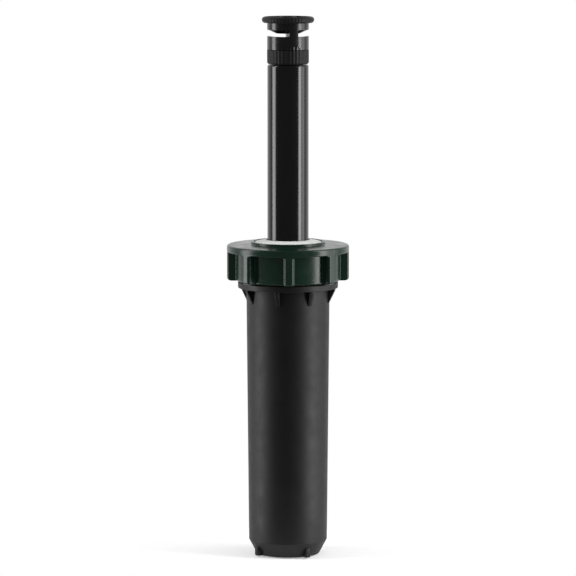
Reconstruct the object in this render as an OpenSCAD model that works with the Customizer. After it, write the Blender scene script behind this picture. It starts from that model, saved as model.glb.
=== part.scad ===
// Pop-up spray sprinkler with its riser fully up.
// Millimetres, +Z up along the riser, origin at the centre of the case's foot.
// Bearings are measured from the front, -Y, towards +X.

/* [Pop-up] */
// Travel of the riser, from flush with the cap to fully up
stroke = 101.6; // [70:0.1:101.6]
// Height of the cap's top face above the foot
cap_top_z = 148; // [148:0.5:154]
// Outer radius of the riser tube
riser_r = 9.76; // [9.4:0.01:9.8]
// Wall of the riser tube
riser_wall = 1.66; // [1.2:0.02:1.8]

/* [Case] */
// Outer radius of the case where the foot's chamfer ends
case_foot_r = 18.6; // [18.5:0.1:19.4]
// Outer radius of the case under its flange
case_top_r = 19.75; // [19.6:0.05:20.2]
// Radius of the flat foot
foot_r = 14.9; // [14.8:0.1:15.6]
// Height of the foot's chamfer
foot_chamfer = 6.8; // [6:0.1:8]
// Radius of the case's bore just above its floor
bore_foot_r = 16.3; // [16.3:0.05:16.5]
// Radius of the case's bore at the rim
bore_top_r = 17.4; // [17.2:0.05:17.5]
// Radius of the flange under the cap
flange_r = 23.75; // [22.5:0.05:24.4]
// Number of gussets under the flange
gusset_count = 8; // [4:1:12]
// Number of ribs on the foot's chamfer
foot_rib_count = 4; // [2:1:6]

/* [Inlet] */
// Radius of the inlet bore, the minor radius of a half-inch pipe thread
inlet_r = 9.3; // [9.0:0.05:9.5]
// Depth of the inlet bore
inlet_depth = 12.8; // [11:0.1:12.8]

/* [Cap] */
// Outer radius of the cap's rim band
cap_r = 29; // [27.5:0.1:29.5]
// Outer radius of the panels between the lugs
panel_r = 24.8; // [24.6:0.05:25.4]
// Height of the cap
cap_h = 17; // [17:0.1:18]
// Height of the rim band
band_h = 3.3; // [3:0.1:4]
// Radius of the opening in the cap's top
cap_opening_r = 16.2; // [16.1:0.05:16.8]
// Number of grip lugs
lug_count = 8; // [5:1:9]
// Width of a grip lug
lug_w = 4.6; // [4:0.1:7]

/* [Spring] */
// Diameter of the spring wire
wire_d = 1.2; // [1:0.05:1.2]
// Mean radius of the coils
coil_r = 12.5; // [12.4:0.05:12.6]
// Number of turns, the two closed end turns included
coil_turns = 9.5; // [7.5:0.5:9.5]

/* [Nozzle] */
// Outer radius of the nozzle's knurl and sleeve
nozzle_r = 9.88; // [9.7:0.01:9.9]
// Number of ribs in the knurl
knurl_count = 40; // [24:1:48]
// Radius of the deflector's top disc
disc_r = 12.3; // [11:0.1:14]
// Height of the spray slot
slot_h = 1.3; // [0.8:0.1:1.8]
// Width of the web that carries the deflector
web_w = 4.3; // [2.5:0.1:4.5]
// Bearing of the web
web_bearing = 17; // [0:0.1:90]

/* [Hidden] */
$fn = 96;

// Clearances
over = 1;            // length by which a cut runs past a face
gap = 0.3;           // gap between pieces that move past each other
face_gap = 0.1;      // gap between faces that bear on each other
running = 0.08;      // radial clearance of a pin in its hole

// Case, up its height
floor_t = 1.8;
floor_top = inlet_depth + floor_t;
seat_z = floor_top + 0.4;
seat_r = 8.4;
port_r = 7.4;
flange_z = cap_top_z - 20.4;
flange_t = 3;
neck_z = flange_z + flange_t;
neck_top = cap_top_z - 6.4;
neck_r = 20.6;
edge = 0.35;         // small chamfer on moulded edges
core_r = [11.8, 13.4];
core_depth = inlet_depth - 2.2;
core_rib_count = 8;
core_rib_t = 1.2;
guide_count = 4;
guide_w = 1.8;
guide_r = 15.3;
guide_top = cap_top_z - 10;
gusset_h = 7;
gusset_t = 2;
gusset_bearing = -14;
foot_rib_w = 2.2;
foot_rib_r = 18;
foot_rib_h = 5.2;
foot_rib_round = 2;
foot_rib_bearing = 32.5;

// Screw thread of the cap, as rings of the same section as the thread
thread_pitch = 3;
thread_h = 1.1;
thread_root = 0.9;   // half width at the root
thread_crest = 0.4;  // half width at the crest
thread_turns = 3;
thread_z = neck_z + 1.7;

// Cap
cap_z = cap_top_z - cap_h;
cap_bore_r = neck_r + thread_h + gap;
cap_ceiling = cap_top_z - 3.1;
collar_r = 17.6;
collar_z = cap_top_z + 1.6;
face_fall = 0.3;      // fall of the top face from the collar to the rim
lug_r = cap_r - 0.1;
lug_bearing = 1;
lug_round = 1.2;

// Seal stack in the cap
carrier_r = 20.2;
carrier_z = neck_top + face_gap;
carrier_bore = riser_r + 0.34;
carrier_top = cap_top_z + 2.5;
hub_r = cap_opening_r - gap;
hub_shoulder_z = collar_z - 0.2;
lip_bore = riser_r + 0.22;
lip_r = 12.4;
lip_h = 3.2;
ring_t = 2.1;
ring_top = carrier_z - face_gap;
ring_z = ring_top - ring_t;
ring_bore = riser_r + 0.6;

// Riser and what its foot carries, up from the heel seal
heel_z = seat_z + stroke + 0.2;
heel_t = 2;
heel_r = 8.9;
holder_disc_t = 1;
window_h = 2.2;
stud_r = 1.5;
stud_head_r = 2.2;
stud_head_t = 0.6;
riser_foot = heel_z + heel_t + holder_disc_t + window_h;
riser_bore = riser_r - riser_wall;
riser_flange_r = 13.3;
riser_flange_t = 1.6;
flange_top = riser_foot + riser_flange_t;
riser_top = cap_top_z + stroke - 16.3;
riser_bevel = 0.8;
riser_bevel_h = 1.3;
riser_neck_r = 6.8;
riser_neck_bore = 5.6;
riser_neck_h = 5.9;
shoulder_t = 2.4;

// Ratchet between the riser's flange and its ring
tooth_count = 24;
tooth_h = 0.6;
tooth_w = 2.5;
tooth_r = [10.9, 13.2];
ratchet_z = flange_top + face_gap;
ratchet_t = 1.9;
ratchet_top = ratchet_z + ratchet_t;
ratchet_r = 15.9;
ratchet_skirt_r = riser_flange_r + 0.4;
ratchet_skirt_h = 1.4;
notch_r = 14.9;

// Spring, between the ratchet ring and the support ring
spring_z = ratchet_top + face_gap;
spring_top = ring_z - face_gap;
coil_steps = 20;     // rings of vertices a turn
coil_sides = 8;

// Nozzle, up from the riser's shoulder
skirt_z = riser_top + gap;
skirt_top = skirt_z + 6.6;
skirt_bore = riser_neck_r + 0.5;
knurl_depth = 0.33;
plate_z = skirt_z + 6.8;
plate_t = 1.7;
spigot_r = 8.2;
spigot_bore = 6.4;
sleeve_r = nozzle_r - 0.03;
sleeve_bore = spigot_r + 0.15;
sleeve_z = skirt_top + 0.2;
sleeve_top = skirt_z + 13.1;
arc_drop = 0.9;      // fall of the sleeve's rim at the back, along the spray slot
arc_back = 3;        // distance behind the axis at which that fall starts
spigot_top = sleeve_top - arc_drop - gap;
water_port_r = 1.1;
water_port_at = 3.6;
water_port_count = 4;
screw_r = 1.3;
guide_pin_r = 0.6;
guide_pin_at = 2.9;
guide_pin_h = 7.4;
nozzle_ring_z = plate_z + plate_t + 1.9;
nozzle_ring_r = 0.45;
nozzle_groove_r = 7.4;

// Deflector
cone_z = sleeve_top + slot_h;
cone_foot_r = 5.6;
cone_h = 1.8;
disc_z = cone_z + 5;
disc_t = 2.8;
disc_bevel = 0.9;
disc_under_bevel = 0.8;
dish_r = [4, disc_r - 1.5];
dish_depth = 0.9;
dish_slope = 0.3;
top_z = cone_z + 8;
web_inner = 5;
counterbore_r = 3.1;
counterbore_h = 2;
screw_ring_r = 0.42;
screw_ring_z = top_z - counterbore_h - 0.5;
screw_groove_r = 2.3;

// Radius screw and throttle plug
head_r = 2.8;
head_t = 1.45;
head_z = top_z - counterbore_h + 0.05;
drive_w = 0.8;
drive_h = 0.8;
shank_z = skirt_z - 1.2;
plug_r = 4;
plug_z = skirt_z + 0.4;
plug_h = 3.4;
plug_tip_h = 0.5;
plug_tip_r = 3;

// Filter
filter_flange_r = 6.9;
filter_flange_t = 1.05;
filter_top = plate_z - 0.05;
filter_r = 5.2;
filter_foot_r = 4.7;
filter_wall = 0.8;
filter_h = 40;
filter_rows = 12;
filter_pitch = 2.8;
filter_slot = [2.2, 1.2];
filter_slot_turns = [0, 45, 90, 135];

// Turns its children, made along +X, to a bearing
module at_bearing(bearing) {
    rotate([0, 0, bearing - 90]) children();
}

// Repeats its children evenly round the axis, the first at a bearing
module around(count, first = 0) {
    for (i = [0 : count - 1]) at_bearing(first + i * 360 / count) children();
}

// A solid of revolution from its radius and height points
module revolve(points) {
    rotate_extrude() polygon(points);
}

// A plain tube between two heights
module tube(r_out, r_in, z_low, z_high) {
    revolve([[r_in, z_low], [r_out, z_low], [r_out, z_high], [r_in, z_high]]);
}

// A plain cylinder between two heights
module rod(r, z_low, z_high) {
    translate([0, 0, z_low]) cylinder(r = r, h = z_high - z_low);
}

// A block along +X between two radii and two heights
module bar(r_in, r_out, width, z_low, z_high) {
    translate([r_in, -width / 2, z_low]) cube([r_out - r_in, width, z_high - z_low]);
}

// A plate along +X, drawn as radius and height points
module fin(points, thickness) {
    rotate([90, 0, 0]) linear_extrude(thickness, center = true) polygon(points);
}

// One ring of thread section on a cylinder of radius r, outwards (side 1) or inwards (side -1)
module thread_ring(r, z, side) {
    revolve([
        [r - side * edge, z - thread_root], [r, z - thread_root], [r + side * thread_h, z - thread_crest],
        [r + side * thread_h, z + thread_crest], [r, z + thread_root], [r - side * edge, z + thread_root]
    ]);
}

module case_shell() {
    revolve([
        [0, 0], [foot_r - edge, 0], [foot_r, edge], [case_foot_r, foot_chamfer], [case_top_r, flange_z],
        [flange_r - edge, flange_z], [flange_r, flange_z + edge], [flange_r, neck_z - edge],
        [flange_r - edge, neck_z], [neck_r, neck_z], [neck_r, neck_top - edge], [neck_r - edge, neck_top],
        [bore_top_r, neck_top], [bore_foot_r, floor_top], [seat_r, floor_top], [seat_r, seat_z], [0, seat_z]
    ]);
    for (i = [0 : thread_turns - 1]) thread_ring(neck_r, thread_z + i * thread_pitch, 1);
}

module case_gusset() {
    foot_z = flange_z - gusset_h;
    buried = case_top_r - 1;
    fin([[buried, foot_z], [case_top_r, foot_z], [flange_r - 0.7, flange_z + edge], [buried, flange_z + edge]],
        gusset_t);
}

module case_foot_rib() {
    corner = [foot_rib_r - foot_rib_round, foot_rib_h - foot_rib_round];
    fin(concat(
        [[foot_r - 1, 0], [foot_rib_r - edge, 0], [foot_rib_r, edge]],
        [for (a = [0 : 15 : 90]) corner + foot_rib_round * [cos(a), sin(a)]],
        [[foot_r - 1, foot_rib_h]]
    ), foot_rib_w);
}

module case_core() {
    difference() {
        tube(core_r[1], core_r[0], -over, core_depth);
        around(core_rib_count) bar(core_r[0] - over, core_r[1] + over, core_rib_t, -over, core_depth);
    }
}

module case() {
    color("#29292a") difference() {
        union() {
            case_shell();
            around(gusset_count, gusset_bearing) case_gusset();
            around(foot_rib_count, foot_rib_bearing) case_foot_rib();
            around(guide_count) bar(guide_r, bore_top_r + 0.2, guide_w, floor_top - edge, guide_top);
        }
        rod(inlet_r, -over, inlet_depth);
        rod(port_r, inlet_depth - over, seat_z + over);
        case_core();
    }
}

// Outline of a grip lug seen from above, with its outer corners rounded
module lug_outline() {
    half = lug_w / 2;
    corner = lug_r - lug_round;
    polygon(concat(
        [[cap_bore_r + 1, -half]],
        [for (a = [-90 : 15 : 0]) [corner + lug_round * cos(a), -half + lug_round * (1 + sin(a))]],
        [for (a = [0 : 15 : 90]) [corner + lug_round * cos(a), half - lug_round * (1 - sin(a))]],
        [[cap_bore_r + 1, half]]
    ));
}

module cap_shell() {
    band_z = cap_top_z - band_h;
    round_edge = 1;
    revolve([
        [cap_bore_r, cap_z], [panel_r - round_edge, cap_z], [panel_r, cap_z + round_edge], [panel_r, band_z],
        [cap_r, band_z], [cap_r, cap_top_z - round_edge], [cap_r - round_edge, cap_top_z],
        [collar_r, cap_top_z + face_fall], [collar_r, collar_z - edge], [collar_r - edge, collar_z],
        [cap_opening_r, collar_z], [cap_opening_r, cap_ceiling], [cap_bore_r, cap_ceiling]
    ]);
}

module cap() {
    color("#16352a") {
        cap_shell();
        around(lug_count, lug_bearing) translate([0, 0, cap_z])
            linear_extrude(cap_h - band_h + edge) lug_outline();
        for (i = [0 : thread_turns - 1])
            thread_ring(cap_bore_r, thread_z + (i + 0.5) * thread_pitch, -1);
    }
}

module seal_carrier() {
    color("#eef0ee") revolve([
        [lip_r + face_gap, carrier_z], [carrier_r, carrier_z], [carrier_r, cap_ceiling - face_gap],
        [hub_r, cap_ceiling - face_gap], [hub_r, hub_shoulder_z - edge], [hub_r - edge, hub_shoulder_z],
        [carrier_bore + 1, carrier_top - face_gap], [carrier_bore, carrier_top],
        [carrier_bore, carrier_z + lip_h + face_gap], [lip_r + face_gap, carrier_z + lip_h + face_gap]
    ]);
}

module wiper_lip() {
    slot = [lip_bore + 0.8, lip_bore + 1.6];
    color("#3a3a3a") revolve([
        [lip_bore + 0.2, carrier_z], [slot[0], carrier_z], [slot[0], carrier_z + lip_h - 1.2],
        [slot[1], carrier_z + lip_h - 1.2], [slot[1], carrier_z], [lip_r, carrier_z],
        [lip_r, carrier_z + lip_h], [lip_bore, carrier_z + lip_h], [lip_bore, carrier_z + lip_h - 0.8]
    ]);
}

module seal_support_ring() {
    lip = [ring_bore + 0.9, 1.2];
    color("#222223") revolve([
        [ring_bore, ring_z - lip[1]], [lip[0], ring_z - lip[1]], [lip[0], ring_z], [bore_top_r - 0.4, ring_z],
        [bore_top_r - 0.4, ring_top], [ring_bore, ring_top]
    ]);
}

// Height of the wire's centre after a number of turns: closed end turns, even pitch between them
function coil_z(turn) =
    let (
        low = spring_z + wire_d / 2,
        high = spring_top - wire_d / 2,
        closed = wire_d * 1.02,
        open_pitch = (high - low - 2 * closed) / (coil_turns - 2)
    )
    turn < 1 ? low + closed * turn
    : turn > coil_turns - 1 ? high - closed * (coil_turns - turn)
    : low + closed + open_pitch * (turn - 1);

module retract_spring() {
    rings = coil_turns * coil_steps;
    points = [
        for (i = [0 : rings], j = [0 : coil_sides - 1])
            let (
                turn = i / coil_steps,
                across = coil_r + wire_d / 2 * cos(j * 360 / coil_sides),
                up = coil_z(turn) + wire_d / 2 * sin(j * 360 / coil_sides)
            )
            [across * cos(turn * 360), across * sin(turn * 360), up]
    ];
    last = rings * coil_sides;
    faces = concat(
        [[for (j = [0 : coil_sides - 1]) j]],
        [for (i = [0 : rings - 1], j = [0 : coil_sides - 1])
            let (a = i * coil_sides + j, b = i * coil_sides + (j + 1) % coil_sides)
            [a, a + coil_sides, b + coil_sides, b]],
        [[for (j = [coil_sides - 1 : -1 : 0]) last + j]]
    );
    color("#b9bcc0") polyhedron(points, faces, convexity = 10);
}

// One ratchet tooth along +X, or the groove that takes it when grown
module tooth(grow = 0) {
    base = tooth_w + 2 * grow;
    translate([tooth_r[0] - grow, 0, flange_top]) rotate([90, 0, 90])
        linear_extrude(tooth_r[1] - tooth_r[0] + 2 * grow)
            polygon([[-base / 2, -edge], [base / 2, -edge], [base / 2, 0], [0, tooth_h + grow], [-base / 2, 0]]);
}

module ratchet_ring() {
    color("#8d9094") difference() {
        revolve([
            [ring_bore, ratchet_z], [ratchet_skirt_r, ratchet_z], [ratchet_skirt_r, ratchet_z - ratchet_skirt_h],
            [ratchet_r, ratchet_z - ratchet_skirt_h], [ratchet_r, ratchet_top], [ring_bore, ratchet_top]
        ]);
        around(tooth_count) tooth(face_gap);
        around(guide_count) bar(notch_r, ratchet_r + over, guide_w + 0.8, ratchet_z - 2, ratchet_top + over);
    }
}

module riser_tube() {
    neck_top_z = riser_top + riser_neck_h;
    color("#141416") {
        revolve([
            [riser_bore, riser_foot], [riser_flange_r, riser_foot], [riser_flange_r, flange_top],
            [riser_r, flange_top], [riser_r, riser_top - riser_bevel_h], [riser_r - riser_bevel, riser_top],
            [riser_neck_r, riser_top], [riser_neck_r, neck_top_z - edge], [riser_neck_r - edge, neck_top_z],
            [riser_neck_bore, neck_top_z], [riser_neck_bore, riser_top - shoulder_t],
            [riser_bore, riser_top - shoulder_t - 1.5]
        ]);
        for (i = [0 : 2]) revolve([
            [riser_neck_r - edge, riser_top + 1.3 + i * 1.6], [riser_neck_r + 0.35, riser_top + 1.7 + i * 1.6],
            [riser_neck_r - edge, riser_top + 2.1 + i * 1.6]
        ]);
        around(tooth_count) tooth();
    }
}

module heel_seal() {
    color("#202020") difference() {
        rod(heel_r, heel_z, heel_z + heel_t);
        rod(stud_r + face_gap, heel_z - over, heel_z + heel_t + over);
        rod(stud_head_r + 0.2, heel_z - over, heel_z + stud_head_t + 0.3);
    }
}

module heel_seal_holder() {
    disc_low = heel_z + heel_t;
    sleeve_r_out = riser_bore - 0.05;
    color("#c9c6bd") {
        rod(sleeve_r_out, disc_low, disc_low + holder_disc_t);
        rod(stud_r, heel_z + 0.2, disc_low + edge);
        rod(stud_head_r, heel_z + 0.2, heel_z + 0.2 + stud_head_t);
        tube(sleeve_r_out, sleeve_r_out - 1.4, riser_foot, riser_foot + 5);
        around(4, 45) bar(sleeve_r_out - 1.4, sleeve_r_out - 0.2, 2, disc_low + edge, riser_foot + 1);
    }
}

module filter_basket() {
    foot_z = filter_top - filter_h;
    color("#d8d6cf") difference() {
        revolve([
            [0, foot_z], [filter_foot_r, foot_z], [filter_r, filter_top - filter_flange_t],
            [filter_flange_r, filter_top - filter_flange_t], [filter_flange_r, filter_top],
            [filter_r - filter_wall, filter_top], [filter_foot_r - filter_wall, foot_z + 1], [0, foot_z + 1]
        ]);
        for (row = [0 : filter_rows - 1], turn = filter_slot_turns)
            rotate([0, 0, turn + row % 2 * 22.5])
                translate([0, 0, foot_z + 3 + row * filter_pitch])
                    cube([filter_r * 3, filter_slot[0], filter_slot[1]], center = true);
    }
}

// Outline of the knurl: a rounded rib and a groove for each count
module knurl_outline() {
    polygon([
        for (i = [0 : knurl_count - 1], step = [0 : 3])
            let (
                a = (i + [0, 0.3, 0.55, 0.75][step]) * 360 / knurl_count,
                r = nozzle_r - [0, 0, knurl_depth, knurl_depth][step]
            )
            [r * cos(a), r * sin(a)]
    ]);
}

module nozzle_base() {
    color("#1d1d1f") difference() {
        union() {
            intersection() {
                translate([0, 0, skirt_z]) linear_extrude(skirt_top - skirt_z) knurl_outline();
                revolve([[0, skirt_z], [nozzle_r - 0.8, skirt_z], [nozzle_r + 0.1, skirt_z + 1],
                    [nozzle_r + 0.1, skirt_top], [0, skirt_top]]);
            }
            rod(spigot_r, skirt_z + 1, spigot_top);
        }
        rod(skirt_bore, skirt_z - over, plate_z);
        rod(spigot_bore, plate_z + plate_t, spigot_top + over);
        tube(spigot_r + over, nozzle_groove_r, nozzle_ring_z - 0.55, nozzle_ring_z + 0.55);
        rod(screw_r + running, plate_z - over, plate_z + plate_t + over);
        around(water_port_count, 45) translate([water_port_at, 0, 0])
            rod(water_port_r, plate_z - over, plate_z + plate_t + over);
    }
    color("#1d1d1f") around(2) translate([guide_pin_at, 0, 0])
        rod(guide_pin_r, plate_z - guide_pin_h, plate_z + edge);
}

module nozzle_o_ring() {
    color("#101010") rotate_extrude() translate([sleeve_bore - nozzle_ring_r - 0.03, nozzle_ring_z])
        circle(nozzle_ring_r, $fn = 32);
}

module deflector() {
    color("#1b1b1d") difference() {
        union() {
            tube(sleeve_r, sleeve_bore, sleeve_z, sleeve_top);
            revolve([
                [0, cone_z], [cone_foot_r, cone_z], [sleeve_r, cone_z + cone_h], [sleeve_r, disc_z],
                [disc_r - disc_under_bevel, disc_z], [disc_r, disc_z + disc_under_bevel],
                [disc_r, disc_z + disc_t - disc_bevel],
                [disc_r - disc_bevel, disc_z + disc_t], [dish_r[1], disc_z + disc_t],
                [dish_r[1] - dish_slope, disc_z + disc_t - dish_depth],
                [dish_r[0] + dish_slope, disc_z + disc_t - dish_depth], [dish_r[0], top_z], [0, top_z]
            ]);
            intersection() {
                at_bearing(web_bearing)
                    bar(web_inner, sleeve_r + over, web_w, sleeve_top - face_gap, cone_z + cone_h);
                rod(sleeve_r, sleeve_top - over, cone_z + cone_h);
            }
        }
        translate([-disc_r, arc_back, sleeve_top - arc_drop]) cube([2 * disc_r, disc_r, arc_drop + gap]);
        rod(screw_r + gap, cone_z - over, top_z + over);
        rod(counterbore_r, top_z - counterbore_h, top_z + over);
        rod(screw_groove_r, screw_ring_z - 0.5, top_z - counterbore_h + face_gap);
    }
}

module screw_o_ring() {
    color("#101010") rotate_extrude() translate([screw_groove_r - screw_ring_r - 0.02, screw_ring_z])
        circle(screw_ring_r, $fn = 32);
}

module radius_screw() {
    color("#c4c6c9") difference() {
        union() {
            rod(screw_r, shank_z, head_z + edge);
            revolve([[0, head_z], [head_r, head_z], [head_r, head_z + head_t - edge],
                [head_r - edge, head_z + head_t], [0, head_z + head_t]]);
        }
        translate([-head_r - over, -drive_w / 2, head_z + head_t - drive_h])
            cube([2 * (head_r + over), drive_w, drive_h + over]);
    }
}

module throttle_plug() {
    color("#d9d9d4") difference() {
        revolve([[0, plug_z], [plug_r, plug_z], [plug_r, plug_z + plug_h - plug_tip_h],
            [plug_tip_r, plug_z + plug_h], [0, plug_z + plug_h]]);
        rod(screw_r + running, plug_z - over, plug_z + plug_h + over);
        around(2) translate([guide_pin_at, 0, 0])
            rod(guide_pin_r + 0.15, plug_z - over, plug_z + plug_h + over);
    }
}

case();
cap();
seal_carrier();
wiper_lip();
seal_support_ring();
retract_spring();
ratchet_ring();
riser_tube();
heel_seal();
heel_seal_holder();
filter_basket();
nozzle_base();
nozzle_o_ring();
deflector();
screw_o_ring();
radius_screw();
throttle_plug();
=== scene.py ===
"""Pop-up spray sprinkler with its riser up: case, cap, seals, riser, nozzle and a plain stage."""
import math

import bmesh
import bpy
from mathutils import Matrix, Vector


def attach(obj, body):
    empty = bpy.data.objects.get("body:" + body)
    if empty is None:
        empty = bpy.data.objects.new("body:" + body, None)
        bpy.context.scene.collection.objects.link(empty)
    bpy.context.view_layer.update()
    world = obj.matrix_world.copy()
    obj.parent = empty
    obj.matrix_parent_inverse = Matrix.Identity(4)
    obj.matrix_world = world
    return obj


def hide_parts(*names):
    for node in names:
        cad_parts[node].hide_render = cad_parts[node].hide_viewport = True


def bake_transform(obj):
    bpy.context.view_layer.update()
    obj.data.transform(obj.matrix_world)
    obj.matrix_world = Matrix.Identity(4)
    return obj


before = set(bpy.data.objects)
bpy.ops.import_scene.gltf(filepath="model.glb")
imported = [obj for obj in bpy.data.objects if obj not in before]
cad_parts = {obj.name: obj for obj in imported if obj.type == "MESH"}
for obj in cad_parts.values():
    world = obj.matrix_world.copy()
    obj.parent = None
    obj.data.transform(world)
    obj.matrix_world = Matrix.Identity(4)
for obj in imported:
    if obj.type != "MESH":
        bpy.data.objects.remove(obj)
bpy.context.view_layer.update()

bl_info = {
    "name": "Pop-up sprinkler",
    "version": (1, 0, 0),
    "blender": (4, 5, 0),
    "location": "3D View > Sidebar > Sprinkler",
    "description": "Builds the pieces of a pop-up sprinkler round its CAD frame",
    "category": "Object",
}

MM = 0.001
TURN = 2 * math.pi
ARC_STEPS = 4          # faces round an eased edge
HOLD = 0.12            # millimetres from an eased edge to the loop that keeps its side flat
EDGE_SHARE = 0.48      # most of a side that one eased corner may take up
BURY = 0.12            # millimetres that a thread's root reaches into its wall
SMOOTH_BELOW = math.radians(40)


# ------------------------------------ outlines

def eased(corners, steps=ARC_STEPS):
    """Closed outline from (radius, height, easing) corners; an eased corner becomes an arc."""
    outline = []
    count = len(corners)
    for i, (r, z, easing) in enumerate(corners):
        here = Vector((r, z))
        back = Vector(corners[i - 1][:2]) - here
        ahead = Vector(corners[(i + 1) % count][:2]) - here
        if easing <= 0:
            outline.append((r, z))
            continue
        half = back.angle(ahead) / 2
        reach = min(easing / math.tan(half), EDGE_SHARE * back.length, EDGE_SHARE * ahead.length)
        radius = reach * math.tan(half)
        back_side, front_side = back.normalized(), ahead.normalized()
        centre = here + (back_side + front_side).normalized() * radius / math.sin(half)
        first = here + back_side * reach - centre
        last = here + front_side * reach - centre
        sweep = first.angle(last)
        if reach + HOLD < 0.5 * back.length:
            outline.append(tuple(here + back_side * (reach + HOLD)))
        for step in range(steps + 1):
            t = step / steps
            spot = first * math.sin((1 - t) * sweep) + last * math.sin(t * sweep)
            outline.append(tuple(centre + spot / math.sin(sweep)))
        if reach + HOLD < 0.5 * ahead.length:
            outline.append(tuple(here + front_side * (reach + HOLD)))
    return outline


def quarter(steps):
    """Angles from 0 to a right angle, both included."""
    return [math.pi / 2 * k / steps for k in range(steps + 1)]


def circle(r, z, sides):
    """Ring of points in millimetres, or one point on the axis."""
    if r < 1e-6:
        return [(0.0, 0.0, z)]
    angles = [TURN * k / sides for k in range(sides)]
    return [(r * math.cos(a), r * math.sin(a), z) for a in angles]


def bearing_point(r, bearing, z):
    """Point at a bearing, in radians from the front towards the right."""
    return (r * math.sin(bearing), -r * math.cos(bearing), z)


# ------------------------------------ meshes

def add_skin(shell, rings):
    """Bridges each ring to the next and the last to the first; a ring of one point is a pole."""
    loops = [[shell.verts.new(Vector(p) * MM) for p in ring] for ring in rings]
    for i, low in enumerate(loops):
        high = loops[(i + 1) % len(loops)]
        sides = max(len(low), len(high))
        if sides == 1:
            continue
        for j in range(sides):
            k = (j + 1) % sides
            corners = [low[j % len(low)], low[k % len(low)],
                       high[k % len(high)], high[j % len(high)]]
            face = list(dict.fromkeys(corners))
            if len(face) > 2:
                shell.faces.new(face)


def add_plate(shell, outline, thickness, flip=False, ease=0.0):
    """Plate from an outline of (across, up) points, thickness along Y or, flipped, along X."""
    half = thickness / 2
    def spot(a, b, side):
        return (side * half, a, b) if flip else (a, side * half, b)
    sides = []
    for side in (-1, 1):
        sides.append([shell.verts.new(Vector(spot(a, b, side)) * MM) for a, b in outline])
    faces = [shell.faces.new(sides[0]), shell.faces.new(list(reversed(sides[1])))]
    for i in range(len(outline)):
        j = (i + 1) % len(outline)
        faces.append(shell.faces.new((sides[0][i], sides[0][j], sides[1][j], sides[1][i])))
    if ease > 0:
        edges = list({edge for face in faces for edge in face.edges})
        bmesh.ops.bevel(shell, geom=edges, offset=ease * MM, segments=2, profile=0.5,
                        affect="EDGES", clamp_overlap=True)


def link(name, data):
    """New object in the scene."""
    made = bpy.data.objects.new(name, data)
    bpy.context.scene.collection.objects.link(made)
    return made


def shade(mesh):
    """Smooth faces, sharp where the surface turns by more than the limit."""
    mesh.shade_smooth()
    mesh.set_sharp_from_angle(angle=SMOOTH_BELOW)


def applied(piece):
    """New mesh of a piece with its modifiers applied."""
    bpy.context.view_layer.update()
    seen = piece.evaluated_get(bpy.context.evaluated_depsgraph_get())
    return bpy.data.meshes.new_from_object(seen)


def to_object(shell, name, material):
    """Object at the origin from a finished shell, its faces pointing outwards."""
    bmesh.ops.remove_doubles(shell, verts=shell.verts, dist=1e-7)
    bmesh.ops.recalc_face_normals(shell, faces=shell.faces)
    if not shell.faces:
        raise RuntimeError(f"{name} has no faces")
    mesh = bpy.data.meshes.new(name)
    shell.to_mesh(mesh)
    shell.free()
    mesh.materials.append(material)
    shade(mesh)
    return link(name, mesh)


def lathe(name, material, outline, sides=160):
    """One piece, a closed outline of (radius, height) turned round the axis."""
    shell = bmesh.new()
    add_skin(shell, [circle(r, z, sides) for r, z in outline])
    return to_object(shell, name, material)


def cut(piece, *cutters):
    """Takes the cutters out of a piece and removes them."""
    for cutter in cutters:
        step = piece.modifiers.new("cut", "BOOLEAN")
        step.operation = "DIFFERENCE"
        step.solver = "EXACT"
        step.object = cutter
    mesh = applied(piece)
    piece.modifiers.clear()
    old = piece.data
    name = old.name
    piece.data = mesh
    bpy.data.meshes.remove(old)
    mesh.name = name
    for cutter in cutters:
        bpy.data.objects.remove(cutter)
    shade(mesh)
    return piece


def place(piece, body, slot, *nodes):
    """Rides a piece on its body and hides the CAD nodes that it stands for; the finish slot is not
    used.
    """
    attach(piece, body)
    if nodes:
        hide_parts(*nodes)


# ------------------------------------ geometry nodes

class Tree:
    """A Geometry Nodes tree with named inputs."""

    def __init__(self, name, inputs):
        self.group = bpy.data.node_groups.new(name, "GeometryNodeTree")
        add_socket = self.group.interface.new_socket
        add_socket("Geometry", in_out="INPUT", socket_type="NodeSocketGeometry")
        for label, kind, default in inputs:
            socket = add_socket(label, in_out="INPUT", socket_type="NodeSocket" + kind)
            if default is not None:
                socket.default_value = default
        add_socket("Geometry", in_out="OUTPUT", socket_type="NodeSocketGeometry")
        self.source = self.group.nodes.new("NodeGroupInput").outputs
        self.sink = self.group.nodes.new("NodeGroupOutput")

    def add(self, kind, values=None, **settings):
        """New node; values fills or links its inputs by name or number."""
        made = self.group.nodes.new(kind)
        for key, value in settings.items():
            setattr(made, key, value)
        for key, value in (values or {}).items():
            if isinstance(value, bpy.types.NodeSocket):
                self.group.links.new(value, made.inputs[key])
            else:
                made.inputs[key].default_value = value
        return made

    def math(self, operation, *values):
        """Result of a Math node."""
        return self.add("ShaderNodeMath", dict(enumerate(values)), operation=operation).outputs[0]

    def close(self, geometry):
        """Ends the tree in plain geometry with the piece's material."""
        plain = self.add("GeometryNodeRealizeInstances", {"Geometry": geometry}).outputs[0]
        values = {"Geometry": plain, "Material": self.source["Material"]}
        done = self.add("GeometryNodeSetMaterial", values).outputs[0]
        self.group.links.new(done, self.sink.inputs[0])
        return self.group


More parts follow.
